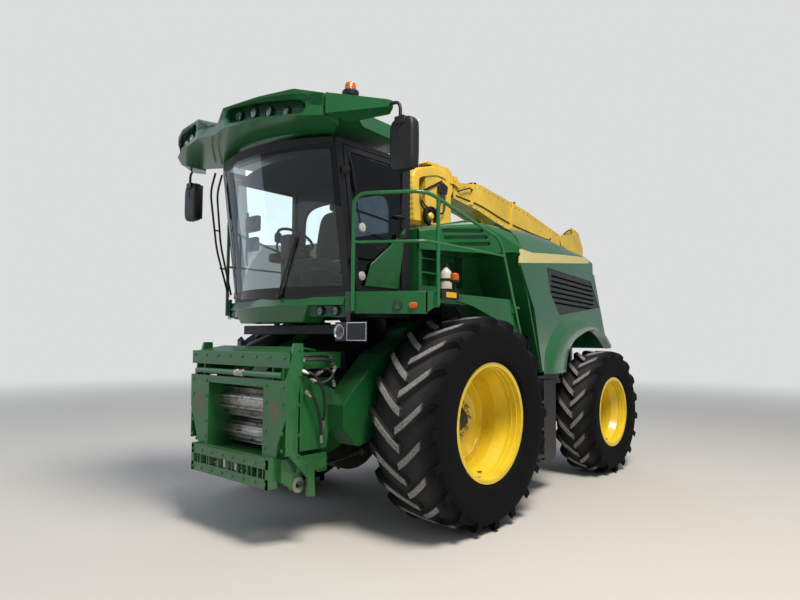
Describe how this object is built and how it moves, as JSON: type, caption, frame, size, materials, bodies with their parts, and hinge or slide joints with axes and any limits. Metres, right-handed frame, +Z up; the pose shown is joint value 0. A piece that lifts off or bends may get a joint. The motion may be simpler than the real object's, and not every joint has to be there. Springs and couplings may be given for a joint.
{
  "type": "forage harvester",
  "caption": "Self-propelled forage harvester with feed rolls, glazed cab, swivelling discharge spout, steered rear wheels and hinged side panels.",
  "frame": {"origin": "centre of the footprint's box on the ground", "axes": "-Y is the machine's front, +X its left side, +Z up"},
  "size_m": [3.48, 7.1, 3.9749],
  "materials": {
    "black_paint": "satin",
    "cast_iron": "as cast",
    "chassis_green": "gloss",
    "green_paint": "gloss",
    "glass": "clear",
    "lamp_plastic": "gloss",
    "amber_plastic": "gloss",
    "black_plastic": "matt",
    "seat_fabric": "woven",
    "tyre": "matt",
    "rim_paint": "gloss",
    "bright_steel": "worn",
    "spout_paint": "satin"
  },
  "bodies": {
    "chassis": {"chassis_frame": "black_paint", "front_axle": "black_paint", "rear_axle": "black_paint", "engine_block": "cast_iron", "cutterhead_housing": "black_paint", "drive_covers": "chassis_green", "cab_body": "green_paint", "cab_glass": "glass", "cab_roof": "green_paint", "lamps": "lamp_plastic", "amber_lamps": "amber_plastic", "mirrors": "black_plastic", "wipers": "black_plastic", "operator_seat": "seat_fabric", "steering_column": "black_plastic", "nose_panel": "green_paint", "platforms": "chassis_green", "handrails": "chassis_green", "access_ladder": "black_paint", "hood_front": "chassis_green", "hood_top": "green_paint", "rear_panel": "green_paint", "counterweight": "black_paint", "side_tanks": "black_paint", "steering_cylinder": "black_paint"},
    "cab_door_leaf": {"cab_door": "black_plastic", "door_glass": "glass"},
    "panel_left": {"side_panel_left": "green_paint", "side_grille_left": "black_plastic"},
    "panel_right": {"side_panel_right": "green_paint", "side_grille_right": "black_plastic"},
    "front_wheel_left": {"front_tyre_left": "tyre", "front_rim_left": "rim_paint"},
    "front_wheel_right": {"front_tyre_right": "tyre", "front_rim_right": "rim_paint"},
    "knuckle_left_body": {"knuckle_left": "black_paint"},
    "knuckle_right_body": {"knuckle_right": "black_paint"},
    "rear_wheel_left": {"rear_tyre_left": "tyre", "rear_rim_left": "rim_paint"},
    "rear_wheel_right": {"rear_tyre_right": "tyre", "rear_rim_right": "rim_paint"},
    "steering_rod_body": {"steering_rod": "bright_steel"},
    "feeder": {"feeder_housing": "chassis_green", "feeder_hood": "chassis_green"},
    "roll_upper": {"feed_roll_upper": "bright_steel"},
    "roll_lower": {"feed_roll_lower": "bright_steel"},
    "lift_barrels": {"lift_cylinders": "black_paint"},
    "lift_rod_pair": {"lift_rods": "bright_steel"},
    "turret": {"spout_turret": "spout_paint", "spout_cover": "spout_paint"},
    "boom": {"spout_boom": "spout_paint"},
    "flap": {"spout_flap": "spout_paint"},
    "spout_barrel": {"spout_cylinder": "black_paint"},
    "spout_piston": {"spout_rod": "bright_steel"}
  },
  "joints": [
    {"name": "front_wheel_left_spin", "type": "hinge", "parent": "chassis", "child": "front_wheel_left", "pos_m": [1.295, -1.5, 0.99], "axis": [1, 0, 0], "continuous": true},
    {"name": "front_wheel_right_spin", "type": "hinge", "parent": "chassis", "child": "front_wheel_right", "pos_m": [-1.295, -1.5, 0.99], "axis": [1, 0, 0], "continuous": true},
    {"name": "steer_left", "type": "hinge", "parent": "chassis", "child": "knuckle_left_body", "pos_m": [0.8, 1.71, 0.81], "axis": [0, 0, 1], "range_deg": [-30, 30]},
    {"name": "steer_right", "type": "hinge", "parent": "chassis", "child": "knuckle_right_body", "pos_m": [-0.8, 1.71, 0.81], "axis": [0, 0, 1], "range_deg": [-30, 30]},
    {"name": "rear_wheel_left_spin", "type": "hinge", "parent": "knuckle_left_body", "child": "rear_wheel_left", "pos_m": [1.225, 1.71, 0.81], "axis": [1, 0, 0], "continuous": true},
    {"name": "rear_wheel_right_spin", "type": "hinge", "parent": "knuckle_right_body", "child": "rear_wheel_right", "pos_m": [-1.225, 1.71, 0.81], "axis": [1, 0, 0], "continuous": true},
    {"name": "steering_rod_slide", "type": "slide", "parent": "chassis", "child": "steering_rod_body", "axis": [1, 0, 0], "range_m": [-0.132, 0.132]},
    {"name": "cab_door_hinge", "type": "hinge", "parent": "chassis", "child": "cab_door_leaf", "pos_m": [0.914, -2.7038, 2.76834], "axis": [0, 0.1392, -0.9903], "range_deg": [0, 42]},
    {"name": "side_panel_left_hinge", "type": "hinge", "parent": "chassis", "child": "panel_left", "pos_m": [1.45, -0.2, 2.7], "axis": [0.1668, -0.986, 0], "range_deg": [0, 70]},
    {"name": "side_panel_right_hinge", "type": "hinge", "parent": "chassis", "child": "panel_right", "pos_m": [-1.45, -0.2, 2.7], "axis": [0.1668, 0.986, 0], "range_deg": [0, 70]},
    {"name": "feeder_lift", "type": "hinge", "parent": "chassis", "child": "feeder", "pos_m": [0, -2.12, 0.92], "axis": [-1, 0, 0], "range_deg": [0, 10]},
    {"name": "lift_cylinder_tilt", "type": "hinge", "parent": "chassis", "child": "lift_barrels", "pos_m": [0, -1.5, 0.735], "axis": [-1, 0, 0], "range_deg": [0, 4.9]},
    {"name": "lift_rod_slide", "type": "slide", "parent": "lift_barrels", "child": "lift_rod_pair", "axis": [0, -0.9952, -0.0978], "range_m": [0, 0.0392]},
    {"name": "upper_roll_spin", "type": "hinge", "parent": "feeder", "child": "roll_upper", "pos_m": [0, -2.95, 1.172], "axis": [1, 0, 0], "continuous": true},
    {"name": "lower_roll_spin", "type": "hinge", "parent": "feeder", "child": "roll_lower", "pos_m": [0, -2.93, 0.885], "axis": [1, 0, 0], "continuous": true},
    {"name": "spout_slew", "type": "hinge", "parent": "chassis", "child": "turret", "pos_m": [0, -0.5, 3.06], "axis": [0, 0, 1], "range_deg": [-105, 105]},
    {"name": "spout_lift", "type": "hinge", "parent": "turret", "child": "boom", "pos_m": [0, -0.2, 3.78], "axis": [1, 0, 0], "range_deg": [0, 30]},
    {"name": "spout_cylinder_tilt", "type": "hinge", "parent": "turret", "child": "spout_barrel", "pos_m": [0, -0.2, 3.22], "axis": [1, 0, 0], "range_deg": [0, 24.6]},
    {"name": "spout_rod_slide", "type": "slide", "parent": "spout_barrel", "child": "spout_piston", "axis": [0, 0.9881, 0.1537], "range_m": [0, 0.278]},
    {"name": "spout_flap_hinge", "type": "hinge", "parent": "boom", "child": "flap", "pos_m": [0, 2.755, 3.43], "axis": [-1, 0, 0], "range_deg": [0, 60]}
  ],
  "couplings": [
    {"joint": "steer_right", "follows": "steer_left", "ratio": 1},
    {"joint": "steering_rod_slide", "follows": "steer_left", "m_per_rad": -0.25},
    {"joint": "lift_cylinder_tilt", "follows": "feeder_lift", "ratio": 0.4823},
    {"joint": "lift_rod_slide", "follows": "feeder_lift", "m_per_rad": 0.2237},
    {"joint": "spout_cylinder_tilt", "follows": "spout_lift", "ratio": 0.8184},
    {"joint": "spout_rod_slide", "follows": "spout_lift", "m_per_rad": 0.5279}
  ]
}
